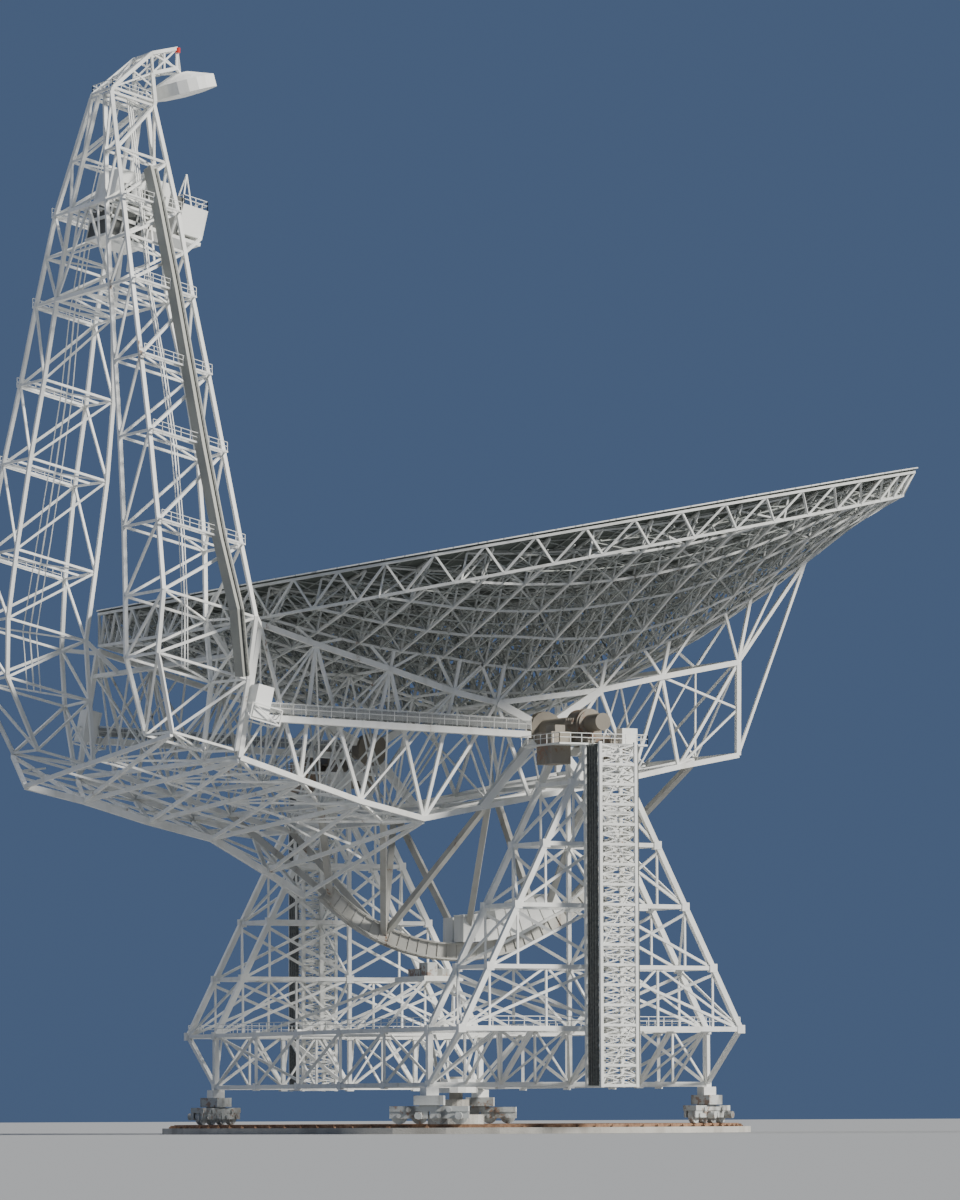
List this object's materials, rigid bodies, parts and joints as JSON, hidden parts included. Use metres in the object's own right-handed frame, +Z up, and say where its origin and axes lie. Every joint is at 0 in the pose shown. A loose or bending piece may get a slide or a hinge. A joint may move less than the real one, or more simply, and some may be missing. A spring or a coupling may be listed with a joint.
{
  "type": "radio telescope dish, a 1:10 scale model",
  "caption": "Fully steerable radio telescope with an offset dish on a lattice box, a lattice feed arm and a wheel-and-track alidade, as a 1:10 scale model.",
  "frame": {"origin": "on the ground on the azimuth axis, at the middle of the pintle foundation's underside", "axes": "+Z up along the azimuth axis, +Y along the elevation axis towards the far tower, +X towards the horizon that the dish tips down to"},
  "size_m": [11.4393, 9.36, 12.7618],
  "materials": {
    "white_steel": "weathered satin white paint",
    "shaded_steel": "weathered satin white paint on thin lattice",
    "panel_white": "satin white paint on sheet",
    "concrete": null,
    "rail_steel": "worn running surface",
    "machine_grey": "grey machinery paint with grease and rust"
  },
  "bodies": {
    "track": {"track_foundation": "concrete", "track_rail": "rail_steel", "pintle_foundation": "concrete"},
    "alidade": {"truck_front_near": "machine_grey", "truck_front_far": "machine_grey", "truck_rear_near": "machine_grey", "truck_rear_far": "machine_grey", "near_tower_inner_frame": "white_steel", "near_tower_outer_frame": "white_steel", "far_tower_inner_frame": "white_steel", "far_tower_outer_frame": "white_steel", "base_near_truss": "white_steel", "base_far_truss": "white_steel", "base_front_truss": "white_steel", "base_rear_truss": "white_steel", "base_deck_frame": "white_steel", "near_lift_shaft": "white_steel", "far_lift_shaft": "white_steel", "near_bearing": "machine_grey", "far_bearing": "machine_grey", "elevation_drive": "machine_grey"},
    "dish": {"reflector_low_near": "panel_white", "reflector_low_far": "panel_white", "reflector_high_near": "panel_white", "reflector_high_far": "panel_white", "rim_truss_high": "shaded_steel", "rim_truss_low": "shaded_steel", "rib_near_3": "shaded_steel", "rib_far_3": "shaded_steel", "rib_near_2": "shaded_steel", "rib_far_2": "shaded_steel", "rib_near_1": "shaded_steel", "rib_far_1": "shaded_steel", "rib_middle": "shaded_steel", "box_near_truss": "white_steel", "box_far_truss": "white_steel", "box_cross_bracing": "white_steel", "near_elevation_shaft": "white_steel", "far_elevation_shaft": "white_steel", "elevation_wheel": "white_steel", "counterweight": "white_steel", "feed_leg_near": "white_steel", "feed_leg_far": "white_steel", "arm_keel_truss": "white_steel", "feed_leg_ties": "white_steel", "feed_leg_lift_rail": "white_steel", "feed_head_frame": "white_steel", "subreflector": "panel_white", "receiver_room": "panel_white", "near_walkway": "white_steel", "near_lift_landing": "panel_white", "far_walkway": "white_steel", "far_lift_landing": "panel_white"}
  },
  "joints": [
    {"name": "azimuth", "type": "hinge", "parent": "track", "child": "alidade", "pos_m": [0, 0, 0], "axis": [0, 0, 1], "range_deg": [-270, 270]},
    {"name": "elevation", "type": "hinge", "parent": "alidade", "child": "dish", "pos_m": [0, 0, 4.7], "axis": [0, 1, 0], "range_deg": [-18.2, 71.8]}
  ]
}
